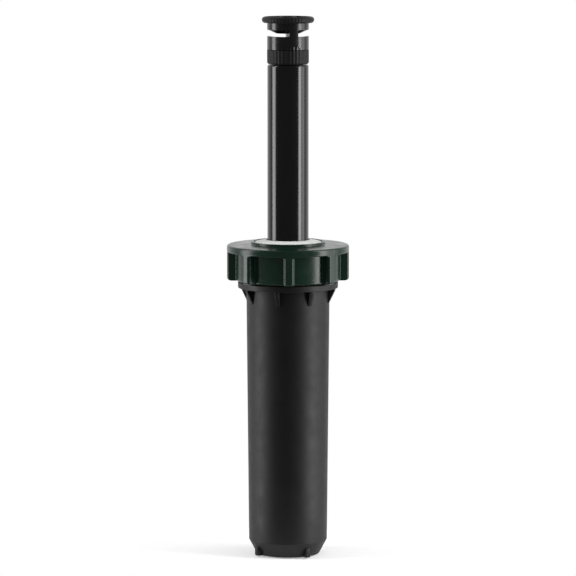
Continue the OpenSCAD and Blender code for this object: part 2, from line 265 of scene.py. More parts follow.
def ring_tree():
    """Copies of the source mesh turned evenly round the axis."""
    if "Ring of copies" in bpy.data.node_groups:
        return bpy.data.node_groups["Ring of copies"]
    tree = Tree("Ring of copies", [
        ("Count", "Int", 8), ("First bearing", "Float", 0.0), ("Material", "Material", None),
    ])
    points = tree.add("GeometryNodePoints", {"Count": tree.source["Count"]}).outputs[0]
    index = tree.add("GeometryNodeInputIndex").outputs[0]
    share = tree.math("DIVIDE", index, tree.source["Count"])
    angle = tree.math("MULTIPLY_ADD", share, TURN, tree.source["First bearing"])
    turned = tree.add("ShaderNodeCombineXYZ", {"Z": angle}).outputs[0]
    values = {"Points": points, "Instance": tree.source["Geometry"], "Rotation": turned}
    return tree.close(tree.add("GeometryNodeInstanceOnPoints", values).outputs[0])


def helix_tree():
    """The source outline swept along a helix, with closed end turns or ends that run out."""
    if "Helix sweep" in bpy.data.node_groups:
        return bpy.data.node_groups["Helix sweep"]
    tree = Tree("Helix sweep", [
        ("Turns", "Float", 9.5), ("Steps a turn", "Int", 48), ("Radius", "Float", 0.0125),
        ("Start height", "Float", 0.0), ("Height", "Float", 0.01), ("Closed turns", "Float", 0.0),
        ("Closed pitch", "Float", 0.0), ("Run-out", "Float", 0.0), ("Material", "Material", None),
    ])
    source, calc = tree.source, tree.math
    line = tree.add("GeometryNodeCurvePrimitiveLine").outputs[0]
    count = calc("MULTIPLY_ADD", source["Turns"], source["Steps a turn"], 1.0)
    path = tree.add("GeometryNodeResampleCurve", {"Curve": line, "Count": count}).outputs[0]
    along = tree.add("GeometryNodeSplineParameter").outputs["Factor"]
    turn = calc("MULTIPLY", along, source["Turns"])
    left = calc("SUBTRACT", source["Turns"], turn)
    angle = calc("MULTIPLY", turn, TURN)
    x = calc("MULTIPLY", calc("COSINE", angle), source["Radius"])
    y = calc("MULTIPLY", calc("SINE", angle), source["Radius"])
    first = calc("MINIMUM", turn, source["Closed turns"])
    last = calc("MAXIMUM", calc("SUBTRACT", source["Closed turns"], left), 0.0)
    both = calc("ADD", first, last)
    middle = calc("SUBTRACT", turn, both)
    shut = calc("MULTIPLY", source["Closed turns"], 2.0)
    span = calc("SUBTRACT", source["Turns"], shut)
    rise = calc("SUBTRACT", source["Height"], calc("MULTIPLY", shut, source["Closed pitch"]))
    pitch = calc("DIVIDE", rise, span)
    climbed = calc("MULTIPLY_ADD", middle, pitch, calc("MULTIPLY", both, source["Closed pitch"]))
    z = calc("ADD", climbed, source["Start height"])
    spot = tree.add("ShaderNodeCombineXYZ", {"X": x, "Y": y, "Z": z}).outputs[0]
    placed = tree.add("GeometryNodeSetPosition", {"Geometry": path, "Position": spot}).outputs[0]
    upright = tree.add("GeometryNodeSetCurveNormal", {"Curve": placed}, mode="Z_UP").outputs[0]
    near_end = calc("MINIMUM", turn, left)
    fade = calc("DIVIDE", near_end, calc("MAXIMUM", source["Run-out"], 1e-6))
    size = calc("MINIMUM", calc("MAXIMUM", fade, 0.05), 1.0)
    plain = calc("LESS_THAN", source["Run-out"], 1e-5)
    scale = calc("MAXIMUM", size, plain)
    section = tree.add("GeometryNodeMeshToCurve", {"Mesh": source["Geometry"]}).outputs[0]
    values = {"Curve": upright, "Profile Curve": section, "Scale": scale, "Fill Caps": True}
    return tree.close(tree.add("GeometryNodeCurveToMesh", values).outputs[0])


def grow(source, group, name, material, **inputs):
    """Runs a tree on a source object and returns the result as a plain piece."""
    step = source.modifiers.new("grow", "NODES")
    step.node_group = group
    inputs["Material"] = material
    for item in group.interface.items_tree:
        if item.item_type == "SOCKET" and item.in_out == "INPUT" and item.name in inputs:
            step[item.identifier] = inputs[item.name]
    mesh = applied(source)
    if not mesh.polygons:
        raise RuntimeError(f"{name} came out empty")
    bpy.data.objects.remove(source)
    shell = bmesh.new()
    shell.from_mesh(mesh)
    bpy.data.meshes.remove(mesh)
    return to_object(shell, name, material)


def repeat(name, material, count, first, build):
    """Ring of copies of what build makes along +X, the first at a bearing in degrees."""
    shell = bmesh.new()
    build(shell)
    source = to_object(shell, name + "_one", material)
    angle = math.radians(first - 90)
    return grow(source, ring_tree(), name, material, **{"Count": count, "First bearing": angle})


def sweep(name, material, section, **inputs):
    """Helix of a closed section of (outwards, up) points in millimetres."""
    mesh = bpy.data.meshes.new(name + "_section")
    spots = [(a * MM, b * MM, 0) for a, b in section]
    mesh.from_pydata(spots, [(i, (i + 1) % len(spots)) for i in range(len(spots))], [])
    return grow(link(name + "_section", mesh), helix_tree(), name, material, **inputs)


# radius, side, low, high, turns, half width at the root, half width at the crest, height
THREADS = {
    "case_inlet_thread": (10.5, -1, 1.4, 11.6, 5.6, 0.85, 0.12, 1.15),
    "case_neck_thread": (20.6, 1, 132.0, 138.9, 2.4, 0.9, 0.4, 1.05),
    "cap_thread": (22.0, -1, 133.4, 140.4, 2.4, 0.9, 0.4, 1.0),
    "riser_nozzle_thread": (6.8, 1, 234.4, 238.6, 2.6, 0.45, 0.05, 0.33),
    "radius_screw_thread": (1.1, 1, 232.9, 246.4, 19.3, 0.3, 0.05, 0.2),
}


def ridge(name, material):
    """Screw thread outwards (side 1) or inwards (side -1) that runs out at both ends."""
    radius, side, low, high, turns, half_root, half_crest, height = THREADS[name]
    bury = -BURY * side
    section = [
        (bury, -half_root), (side * height, -half_crest),
        (side * height, half_crest), (bury, half_root),
    ]
    inputs = {
        "Turns": turns, "Steps a turn": 72, "Radius": radius * MM, "Start height": low * MM,
        "Height": (high - low) * MM, "Closed turns": 0.0, "Closed pitch": 0.0, "Run-out": 0.12,
    }
    return sweep(name, material, section, **inputs)


# ------------------------------------ materials

CLOUD = 45.0  # clouds of colour a metre
GLOSS_CLOUD = CLOUD * 3.1  # clouds of roughness a metre
MIDDLE_BAND = (0.3, 0.7)  # part of the noise that the ramps spread out
SCATTER_REACH = 0.002  # metres that light travels inside pale plastic


def finish(name, colour, roughness, metallic=0.0, mottle=0.12, grain=(900.0, 0.02), spread=0.06,
           specular=0.5, stretch=(1, 1, 1), scatter=0.0):
    """Procedural finish: clouded colour, uneven roughness and a fine grain, all in object space.

    Grain is its scale and its depth in millimetres.
    """
    if name in bpy.data.materials:
        return bpy.data.materials[name]
    made = bpy.data.materials.new(name)
    made.use_nodes = True
    tree = made.node_tree
    shader = tree.nodes["Principled BSDF"]
    place_node = tree.nodes.new("ShaderNodeTexCoord")
    scale_node = tree.nodes.new("ShaderNodeMapping")
    scale_node.inputs["Scale"].default_value = stretch
    tree.links.new(place_node.outputs["Object"], scale_node.inputs["Vector"])

    def noise(scale, detail, rough=0.55):
        node = tree.nodes.new("ShaderNodeTexNoise")
        node.inputs["Scale"].default_value = scale
        node.inputs["Detail"].default_value = detail
        node.inputs["Roughness"].default_value = rough
        tree.links.new(scale_node.outputs[0], node.inputs["Vector"])
        return node.outputs["Fac"]

    ramp = tree.nodes.new("ShaderNodeValToRGB")
    for element, at, way in zip(ramp.color_ramp.elements, MIDDLE_BAND, (1 - mottle, 1 + mottle)):
        element.position = at
        element.color = (*[min(1.0, c * way) for c in colour], 1)
    tree.links.new(noise(CLOUD, 4), ramp.inputs["Fac"])
    tree.links.new(ramp.outputs["Color"], shader.inputs["Base Color"])
    even = tree.nodes.new("ShaderNodeMapRange")
    even.inputs["From Min"].default_value = MIDDLE_BAND[0]
    even.inputs["From Max"].default_value = MIDDLE_BAND[1]
    even.inputs["To Min"].default_value = max(0.02, roughness - spread)
    even.inputs["To Max"].default_value = roughness + spread
    tree.links.new(noise(GLOSS_CLOUD, 5, 0.65), even.inputs["Value"])
    tree.links.new(even.outputs["Result"], shader.inputs["Roughness"])
    bump = tree.nodes.new("ShaderNodeBump")
    bump.inputs["Strength"].default_value = 1.0
    bump.inputs["Distance"].default_value = grain[1] * MM
    tree.links.new(noise(grain[0], 3), bump.inputs["Height"])
    tree.links.new(bump.outputs["Normal"], shader.inputs["Normal"])
    shader.inputs["Metallic"].default_value = metallic
    shader.inputs["Specular IOR Level"].default_value = specular
    if scatter:
        shader.inputs["Subsurface Weight"].default_value = scatter
        shader.inputs["Subsurface Radius"].default_value = (SCATTER_REACH,) * 3
        shader.inputs["Subsurface Scale"].default_value = 1.0
    return made


def dress(node, material):
    """Gives a kept CAD node its finish."""
    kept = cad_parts[node]
    kept.data.materials.clear()
    kept.data.materials.append(material)


# ------------------------------------ settings

def length(name, text, default):
    return bpy.props.FloatProperty(name=name, description=text, default=default * MM, unit="LENGTH",
                                   subtype="DISTANCE", precision=5)


def number(name, text, default):
    return bpy.props.IntProperty(name=name, description=text, default=default, min=1)


def amount(name, text, default):
    return bpy.props.FloatProperty(name=name, description=text, default=default)


def degrees(name, text, default):
    return bpy.props.FloatProperty(name=name, description=text, default=math.radians(default),
                                   unit="ROTATION", subtype="ANGLE")


def paint(name, text, default):
    return bpy.props.FloatVectorProperty(name=name, description=text, default=default, size=3,
                                         subtype="COLOR", min=0.0, max=1.0)


def factor(name, text, default):
    return bpy.props.FloatProperty(name=name, description=text, default=default, min=0.0, max=1.0,
                                   subtype="FACTOR")


class SprinklerSizes(bpy.types.PropertyGroup):
    """Sizes and counts of the repeated and eased details."""
    edge: length("Edge easing", "Radius of ordinary moulded edges", 0.35)
    gussets: number("Gussets", "Gussets under the case's flange", 8)
    gusset_t: length("Gusset thickness", "Thickness of a gusset", 2.0)
    foot_tabs: number("Foot tabs", "Tabs on the foot's chamfer", 4)
    lugs: number("Lugs", "Grip lugs round the cap", 8)
    lug_w: length("Lug width", "Width of a grip lug", 4.6)
    lug_fillet: length("Lug fillet", "Fillet where a lug meets its panel", 0.4)
    coils: amount("Spring turns", "Turns of the spring", 9.5)
    wire: length("Wire", "Diameter of the spring wire", 1.2)
    knurl: number("Knurl ribs", "Ribs round the nozzle base", 36)
    knurl_depth: length("Knurl depth", "Depth of the grooves between ribs", 0.13)
    serrations: number("Disc serrations", "Fine ribs round the deflector's disc", 48)
    serration_depth: length("Serration depth", "Depth of the disc's serrations", 0.08)
    web_bearing: degrees("Web bearing", "Bearing of the web that carries the deflector", 17.0)


class SprinklerFinish(bpy.types.PropertyGroup):
    """Colours and gloss of the finishes."""
    case: paint("Case", "Black of the case", (0.0026, 0.0026, 0.0028))
    case_rough: factor("Case roughness", "Roughness of the case", 0.52)
    cap: paint("Cap", "Green of the cap", (0.0052, 0.0190, 0.0122))
    cap_rough: factor("Cap roughness", "Roughness of the cap", 0.25)
    riser: paint("Riser", "Black of the riser", (0.0034, 0.0034, 0.0036))
    riser_rough: factor("Riser roughness", "Roughness of the riser", 0.14)
    nozzle: paint("Nozzle", "Black of the nozzle", (0.0038, 0.0038, 0.0040))
    nozzle_rough: factor("Nozzle roughness", "Roughness of the nozzle", 0.22)
    grip: paint("Grip", "Black of the knurl and the disc's rim", (0.0085, 0.0085, 0.0088))
    grip_rough: factor("Grip roughness", "Roughness of the knurl and the disc's rim", 0.47)
    white: paint("Seal", "White of the seal carrier", (0.80, 0.82, 0.79))
    natural: paint("Natural", "Unpigmented plastic of the filter", (0.62, 0.60, 0.53))
    grey: paint("Grey", "Grey plastic of the ratchet ring", (0.22, 0.23, 0.24))
    rubber: paint("Rubber", "Black rubber", (0.012, 0.012, 0.013))
    steel: paint("Steel", "Stainless steel", (0.80, 0.79, 0.77))


class SprinklerStudio(bpy.types.PropertyGroup):
    """Camera, lights and floor."""
    distance: length("Camera distance", "Distance of the camera from the axis", 1800)
    height: length("Camera height", "Height of the camera", 337)
    aim: length("Aim height", "Height that the camera looks at", 127.2)
    lens: amount("Lens", "Focal length in millimetres", 238.6)
    left_light: amount("Left light", "Brightness of the left light", 6.0)
    right_light: amount("Right light", "Brightness of the right light", 8.0)
    side_light: amount("Side light", "Brightness of the soft side light", 2.5)
    floor: paint("Floor", "Pale floor", (0.95, 0.95, 0.95))


def sizes():
    return bpy.context.scene.sprinkler_sizes


def colours():
    return bpy.context.scene.sprinkler_finish


def case_finish():
    return finish("case_black", colours().case, colours().case_rough, grain=(1500.0, 0.012),
                  specular=0.33)


def cap_finish():
    return finish("cap_green", colours().cap, colours().cap_rough, grain=(700.0, 0.006),
                  specular=0.36)


def riser_finish():
    return finish("riser_black", colours().riser, colours().riser_rough, grain=(400.0, 0.002),
                  spread=0.03, stretch=(1, 1, 0.25))


def nozzle_finish():
    return finish("nozzle_black", colours().nozzle, colours().nozzle_rough, grain=(900.0, 0.004))


def grip_finish():
    return finish("nozzle_grip", colours().grip, colours().grip_rough, grain=(900.0, 0.006),
                  specular=0.15)


def steel_finish():
    return finish("stainless_steel", colours().steel, 0.48, metallic=0.4, mottle=0.05,
                  grain=(2500.0, 0.003), stretch=(1, 1, 0.2))


def rubber_finish():
    return finish("black_rubber", colours().rubber, 0.62, grain=(2200.0, 0.01), specular=0.35)


def natural_finish():
    return finish("inner_natural", colours().natural, 0.38, mottle=0.04, grain=(900.0, 0.006),
                  scatter=0.1)


# ------------------------------------ case

CASE_SIDE = [(14.9, 0, 0.5), (18.6, 6.8, 0.7), (19.75, 127.6, 0.5)]
FLANGE = (127.6, 130.6, 23.75)  # low, high, radius
NECK = (20.6, 141.6)  # radius, top
FIRST_GUSSET, FIRST_TAB = -14, 32.5  # bearings in degrees
TAB_THICKNESS, TAB_CORNER = 2.2, 2


def case_outline(edge):
    """Section of the case, from the inlet's rim round the outside and down the bore."""
    low, high, r = FLANGE
    return eased([
        (11.0, 0, 0.2), (11.8, 0, 0.2), (11.8, 10.6, 0.3), (13.4, 10.6, 0.3), (13.4, 0, 0.2),
        *CASE_SIDE, (r, low, edge), (r, high, 0.5), (NECK[0], high, 0.3), (*NECK, edge),
        (17.4, NECK[1], 0.25), (16.3, 14.6, 0.4), (8.4, 14.6, 0.1), (8.4, 15.0, 0.1),
        (7.4, 15.0, 0.1), (7.4, 12.8, 0.1), (10.45, 12.8, 0.1), (10.45, 0.5, 0.1),
    ])


class SPRINKLER_OT_case(bpy.types.Operator):
    """Moulded case with its flange, gussets, foot tabs, guide ribs and inlet thread."""
    bl_idname = "sprinkler.case"
    bl_label = "Case"

    def execute(self, context):
        s, black = sizes(), case_finish()
        shell = lathe("case_shell", black, case_outline(s.edge / MM), sides=192)
        place(shell, "case", "case_plastic", "case")

        def gusset(mesh):
            outline = [(18.9, 120.4), (19.68, 120.4), (20.1, 120.9), (22.9, 126.6), (23.1, 127.9),
                       (18.9, 127.9)]
            add_plate(mesh, outline, s.gusset_t / MM, ease=0.3)

        def foot_tab(mesh):
            corner = [(16 + TAB_CORNER * math.cos(a), 3.2 + TAB_CORNER * math.sin(a))
                      for a in quarter(8)]
            outline = [(13.9, 0.02), (17.65, 0.02), (18, 0.37), *corner, (13.9, 5.2)]
            add_plate(mesh, outline, TAB_THICKNESS, ease=0.2)

        def guide_rib(mesh):
            outline = [(15.3, 14.3), (17.6, 14.3), (17.6, 138), (15.9, 138), (15.3, 137)]
            add_plate(mesh, outline, 1.8, ease=0.2)

        def core_rib(mesh):
            add_plate(mesh, [(11.6, 0.1), (13.6, 0.1), (13.6, 10.8), (11.6, 10.8)], 1.2, ease=0.1)

        rings = [
            ("case_gussets", s.gussets, FIRST_GUSSET, gusset),
            ("case_foot_tabs", s.foot_tabs, FIRST_TAB, foot_tab),
            ("case_guide_ribs", 4, 0, guide_rib), ("case_core_ribs", 8, 0, core_rib),
        ]
        for name, count, first, build in rings:
            place(repeat(name, black, count, first, build), "case", "case_plastic")
        for thread in ("case_inlet_thread", "case_neck_thread"):
            place(ridge(thread, black), "case", "case_plastic")
        return {"FINISHED"}


# ------------------------------------ cap

CAP = {"bore": 22.0, "panel": 24.8, "lug": 28.9, "band": 29.0, "foot": 131.0, "band_z": 144.7,
       "top": 148.0, "opening": 16.2, "collar": 17.6, "collar_z": 149.6, "ceiling": 144.9}
LUG_CORNER = 1.2
FIRST_LUG = 1  # bearing in degrees
PANEL_COLUMNS = 10  # columns of faces in half a panel
OWN_SHARE, EVEN_SHARE = 0.35, 0.65  # how far the band's columns are spread evenly
PANEL_EASE, LUG_EASE = 0.9, 1.5  # rounding along the foot
UNDER_BAND, BAND_NOSE = 0.3, 0.45  # rounding under the band and at its lower edge
TOP_EASE = 0.95


def lug_plan(width, fillet, pitch):
    """One lug from above: (bearing on the skirt, bearing on the band, share of its height)."""
    panel, lug = CAP["panel"], CAP["lug"]
    half = width / 2
    right = []
    for a in quarter(6):
        right.append((half + fillet * (1 - math.sin(a)), panel + fillet * (1 - math.cos(a))))
    for a in quarter(6):
        right.append((half - LUG_CORNER * (1 - math.cos(a)), lug - LUG_CORNER * (1 - math.sin(a))))
    right += [(half * 0.4, lug), (0.0, lug)]
    outline = [(math.atan2(x, r), (r - panel) / (lug - panel)) for x, r in right]
    outline = [(-a, w) for a, w in outline[:-1]] + [(a, w) for a, w in reversed(outline)]
    edge = pitch / 2
    start = outline[0][0]
    left = [(-edge + (start + edge) * k / PANEL_COLUMNS, 0.0) for k in range(PANEL_COLUMNS)]
    tail = [(-a, 0.0) for a, _ in reversed(left)][:-1]
    column = left + outline + tail
    spread = [-edge + pitch * k / len(column) for k in range(len(column))]
    return [(a, OWN_SHARE * a + EVEN_SHARE * even, w) for (a, w), even in zip(column, spread)]


def cap_rows(edge):
    """Section of the cap: radius and height between lugs, the same on a lug, share of band."""
    c = CAP
    foot, under, top = c["foot"], c["band_z"], c["top"]
    rows = []

    def add(r, z, lug_r=None, lug_z=None, band=0.0):
        rows.append((r, z, r if lug_r is None else lug_r, z if lug_z is None else lug_z, band))

    add(c["bore"], foot + 0.15)
    add(c["bore"] + 0.2, foot)
    add(c["panel"] - 1.2, foot, c["lug"] - 1.9)
    for a in quarter(5):
        add(c["panel"] - PANEL_EASE * (1 - math.sin(a)), foot + PANEL_EASE * (1 - math.cos(a)),
            c["lug"] - LUG_EASE * (1 - math.sin(a)), foot + LUG_EASE * (1 - math.cos(a)))
    add(c["panel"], foot + 1.2, c["lug"], foot + 1.9)
    add(c["panel"], foot + 6, c["lug"], foot + 6)
    add(c["panel"], under - 1.1, c["lug"], under - 1.6)
    for k, a in enumerate(quarter(4)):
        add(c["panel"] + UNDER_BAND * (1 - math.cos(a)), under - UNDER_BAND * (1 - math.sin(a)),
            c["lug"], under - 1.2 + 0.12 * k, 0.25 * k / 4)
    add(c["panel"] + 1.6, under + 0.02, c["lug"], under - 0.5, 0.5)
    add(c["band"] - BAND_NOSE - 0.3, under + 0.05, c["lug"], under - 0.35, 0.8)
    for k, a in enumerate(quarter(4)):
        add(c["band"] - BAND_NOSE * (1 - math.sin(a)), under + 0.05 + BAND_NOSE * (1 - math.cos(a)),
            c["lug"] + 0.02 * k, under - 0.2 + 0.2 * k, 1.0)
    add(c["band"], under + 0.9, band=1.0)
    add(c["band"], top - 1.25, band=1.0)
    for a in quarter(6):
        add(c["band"] - TOP_EASE * (1 - math.cos(a)), top - TOP_EASE * (1 - math.sin(a)), band=1.0)
    add(c["band"] - 1.4, top + 0.01, band=1.0)
    rim = eased([
        (c["band"] - 2.4, top + 0.03, 0), (c["collar"], top + 0.3, 0.4),
        (c["collar"], c["collar_z"], edge), (c["opening"], c["collar_z"], 0.25),
        (c["opening"], c["ceiling"], 0.2), (c["bore"], c["ceiling"], 0.3),
        (c["bore"], c["ceiling"] - 2, 0),
    ])
    for r, z in rim:
        add(r, z, band=1.0)
    return rows


class SPRINKLER_OT_cap(bpy.types.Operator):
    """Screw cap: one skin whose panels swell into the grip lugs under the rim band."""
    bl_idname = "sprinkler.cap"
    bl_label = "Cap"

    def execute(self, context):
        s, green = sizes(), cap_finish()
        pitch = TURN / s.lugs
        plan = lug_plan(s.lug_w / MM, s.lug_fillet / MM, pitch)
        first = math.radians(FIRST_LUG)
        rings = []
        for r, z, lug_r, lug_z, band in cap_rows(s.edge / MM):
            ring = []
            for i in range(s.lugs):
                for skirt, even, weight in plan:
                    bearing = first + i * pitch + skirt + (even - skirt) * band
                    ring.append(bearing_point(r + (lug_r - r) * weight, bearing,
                                              z + (lug_z - z) * weight))
            rings.append(ring)
        shell = bmesh.new()
        add_skin(shell, rings)
        place(to_object(shell, "cap_skin", green), "case", "cap_plastic", "cap")
        place(ridge("cap_thread", green), "case", "cap_plastic")
        return {"FINISHED"}


# ------------------------------------ seals

class SPRINKLER_OT_seals(bpy.types.Operator):
    """White seal carrier in the cap's opening, and the finishes of the seals and their support."""
    bl_idname = "sprinkler.seals"
    bl_label = "Seals"

    def execute(self, context):
        white = finish("seal_white", colours().white, 0.34, mottle=0.02, grain=(900.0, 0.004),
                       scatter=0.15)
        outline = eased([
            (12.5, 141.7, 0.15), (20.2, 141.7, 0.3), (20.2, 144.8, 0.3), (15.9, 144.8, 0.2),
            (15.9, 149.3, 0.4), (11.0, 150.4, 0.3), (10.1, 150.5, 0.2), (10.1, 145.0, 0.15),
            (12.5, 145.0, 0.15),
        ])
        place(lathe("seal_carrier_ring", white, outline), "case", "seal_white", "seal_carrier")
        rubber = rubber_finish()
        for node in ("wiper_lip", "nozzle_o_ring", "screw_o_ring", "heel_seal"):
            dress(node, rubber)
        dress("seal_support_ring", case_finish())
        return {"FINISHED"}


# ------------------------------------ spring and ratchet

SPRING_R = 12.5
SPRING_ENDS = (125.7, 139.4)
CLOSED_PITCH = 1.02  # rise of a closed turn in wire thicknesses


class SPRINKLER_OT_spring(bpy.types.Operator):
    """Retraction spring with closed end turns, and the ratchet ring under it."""
    bl_idname = "sprinkler.spring"
    bl_label = "Spring and ratchet"

    def execute(self, context):
        s = sizes()
        wire = s.wire / MM
        low, high = SPRING_ENDS
        section = [(wire / 2 * math.cos(TURN * k / 12), wire / 2 * math.sin(TURN * k / 12))
                   for k in range(12)]
        inputs = {
            "Turns": s.coils, "Steps a turn": 56, "Radius": SPRING_R * MM,
            "Start height": (low + wire / 2) * MM, "Height": (high - low - wire) * MM,
            "Closed turns": 1.0, "Closed pitch": wire * CLOSED_PITCH * MM, "Run-out": 0.0,
        }
        steel = finish("spring_steel", colours().steel, 0.28, metallic=1.0, mottle=0.08,
                       grain=(1800.0, 0.004))
        coil = sweep("spring_coil", steel, section, **inputs)
        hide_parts("retract_spring")
        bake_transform(coil)
        grey = finish("inner_grey", colours().grey, 0.42, mottle=0.06, grain=(1200.0, 0.008))
        dress("ratchet_ring", grey)
        return {"FINISHED"}


# ------------------------------------ riser

TEETH, TOOTH_LENGTH, TOOTH_MIDDLE = 24, 2.3, 12.05


class SPRINKLER_OT_riser(bpy.types.Operator):
    """Riser tube with its ratchet teeth and nozzle thread, and the pieces held in its bore."""
    bl_idname = "sprinkler.riser"
    bl_label = "Riser"

    def execute(self, context):
        black = riser_finish()
        outline = eased([
            (8.1, 122.0, 0.2), (13.3, 122.0, 0.3), (13.3, 123.6, 0.1), (9.76, 123.6, 0.3),
            (9.76, 232.6, 0.3), (9.3, 233.3, 0.2), (6.8, 233.3, 0.2), (6.8, 239.2, 0.35),
            (5.6, 239.2, 0.2), (5.6, 230.9, 0.2), (8.1, 229.4, 0.2),
        ], steps=5)
        tube = lathe("riser_tube_body", black, outline, sides=192)
        place(tube, "riser", "riser_plastic", "riser_tube")

        def tooth(mesh):
            outline = [(-1.25, 123.3), (1.25, 123.3), (1.25, 123.6), (0, 124.15), (-1.25, 123.6)]
            add_plate(mesh, outline, TOOTH_LENGTH, flip=True)
            bmesh.ops.translate(mesh, verts=mesh.verts, vec=(TOOTH_MIDDLE * MM, 0, 0))

        place(repeat("riser_ratchet_teeth", black, TEETH, 90, tooth), "riser", "riser_plastic")
        place(ridge("riser_nozzle_thread", black), "riser", "riser_plastic")
        natural = natural_finish()
        dress("filter_basket", natural)
        dress("heel_seal_holder", natural)
        return {"FINISHED"}


# ------------------------------------ nozzle

RIB_STEEPNESS, RIB_SHARE = 1.9, 0.35  # how square and how wide a rib is
PORTS, PORT_CIRCLE, PORT_R = 4, 3.6, 1.1
GUIDE_PIN_AT = 2.9
SLEEVE_R = 9.85
SLEEVE_FALL = 0.9  # how far the sleeve's rim drops at the back
FALL_START, FALL_RUN = 2, 2.2
POINTER = (-3, 25, 46)  # bearings in degrees: start, end of the full height, end
POINTER_TOP, POINTER_FALL = 242.0, 1.6
DISC_BORE = 1.55
WEB_WIDTH, WEB_ROOT = 4.3, 5.0
WEB_LEVELS = (246.5, 249.85)
NOTCH_BEARING, NOTCH_WIDTH = 1.5, 0.95


def knurl_depth_at(bearing, count):
    """Share of the groove's depth at a bearing: 0 on a rib, 1 in a groove."""
    phase = (bearing * count / TURN) % 1.0
    wave = 0.5 + 0.5 * math.cos(TURN * phase)
    return min(1.0, max(0.0, wave * RIB_STEEPNESS - RIB_SHARE))


def ribbed_rings(outline, columns, count, depth, where):
    """Rings of an outline, with ribs where where(radius, height, bearing) is above 0."""
    rings = []
    for r, z in outline:
        ring = []
        for k in range(columns):
            bearing = TURN * k / columns
            sunk = depth * where(r, z, bearing) * knurl_depth_at(bearing, count)
            ring.append(bearing_point(r - sunk, bearing, z))
        rings.append(ring)
    return rings


def with_levels(outline, low, high, step, r):
    """The outline with extra levels on its straight side of radius r between two heights."""
    filled = []
    for i, (a, z) in enumerate(outline):
        filled.append((a, z))
        b, up = outline[(i + 1) % len(outline)]
        if abs(a - r) < 1e-6 and abs(b - r) < 1e-6 and abs(up - z) > step:
            first, last = sorted((z, up))
            levels = [first + step * k for k in range(1, int((last - first) / step + 0.999))]
            levels = [v for v in levels if low <= v <= high and v < last - 1e-6]
            filled += [(r, v) for v in (levels if up > z else reversed(levels))]
    return filled


def peg(x, y, r, low, high, sides=20):
    """Round cutter for a hole."""
    shell = bmesh.new()
    corners = ((0, low), (r, low), (r, high), (0, high))
    add_skin(shell, [circle(at, z, sides) for at, z in corners])
    bmesh.ops.translate(shell, verts=shell.verts, vec=(x * MM, y * MM, 0))
    return to_object(shell, "peg", nozzle_finish())


class SPRINKLER_OT_nozzle(bpy.types.Operator):
    """Knurled nozzle base that screws on the riser, with its water ports and guide pins."""
    bl_idname = "sprinkler.nozzle"
    bl_label = "Nozzle base"

    def execute(self, context):
        s, black = sizes(), grip_finish()
        outline = eased([
            (7.3, 233.6, 0.2), (9.3, 233.6, 0.25), (9.88, 234.3, 0.5), (9.88, 240.25, 0.2),
            (8.2, 240.25, 0.1), (8.2, 243.4, 0.1), (7.4, 243.5, 0.05), (7.4, 244.5, 0.05),
            (8.2, 244.6, 0.1), (8.2, 245.5, 0.2), (6.4, 245.5, 0.2), (6.4, 242.1, 0.2),
            (1.38, 242.1, 0.1), (1.38, 240.4, 0.1), (7.3, 240.4, 0.1),
        ])

        def where(r, z, bearing):
            return 1.0 if r > 9.4 else 0.0

        shell = bmesh.new()
        depth = s.knurl_depth / MM
        add_skin(shell, ribbed_rings(outline, s.knurl * 10, s.knurl, depth, where))
        base = to_object(shell, "nozzle_base_body", black)
        ports = []
        for k in range(PORTS):
            angle = math.radians(45 + 90 * k)
            ports.append(peg(PORT_CIRCLE * math.cos(angle), PORT_CIRCLE * math.sin(angle), PORT_R,
                             240.0, 242.6))
        place(cut(base, *ports), "riser", "nozzle_plastic", "nozzle_base")

        def pin(mesh):
            corners = ((0, 233.0), (0.5, 233.0), (0.6, 233.1), (0.6, 240.75), (0, 240.75))
            add_skin(mesh, [circle(r, z, 16) for r, z in corners])
            bmesh.ops.translate(mesh, verts=mesh.verts, vec=(GUIDE_PIN_AT * MM, 0, 0))

        place(repeat("nozzle_guide_pins", black, 2, 0, pin), "riser", "nozzle_plastic")
        return {"FINISHED"}


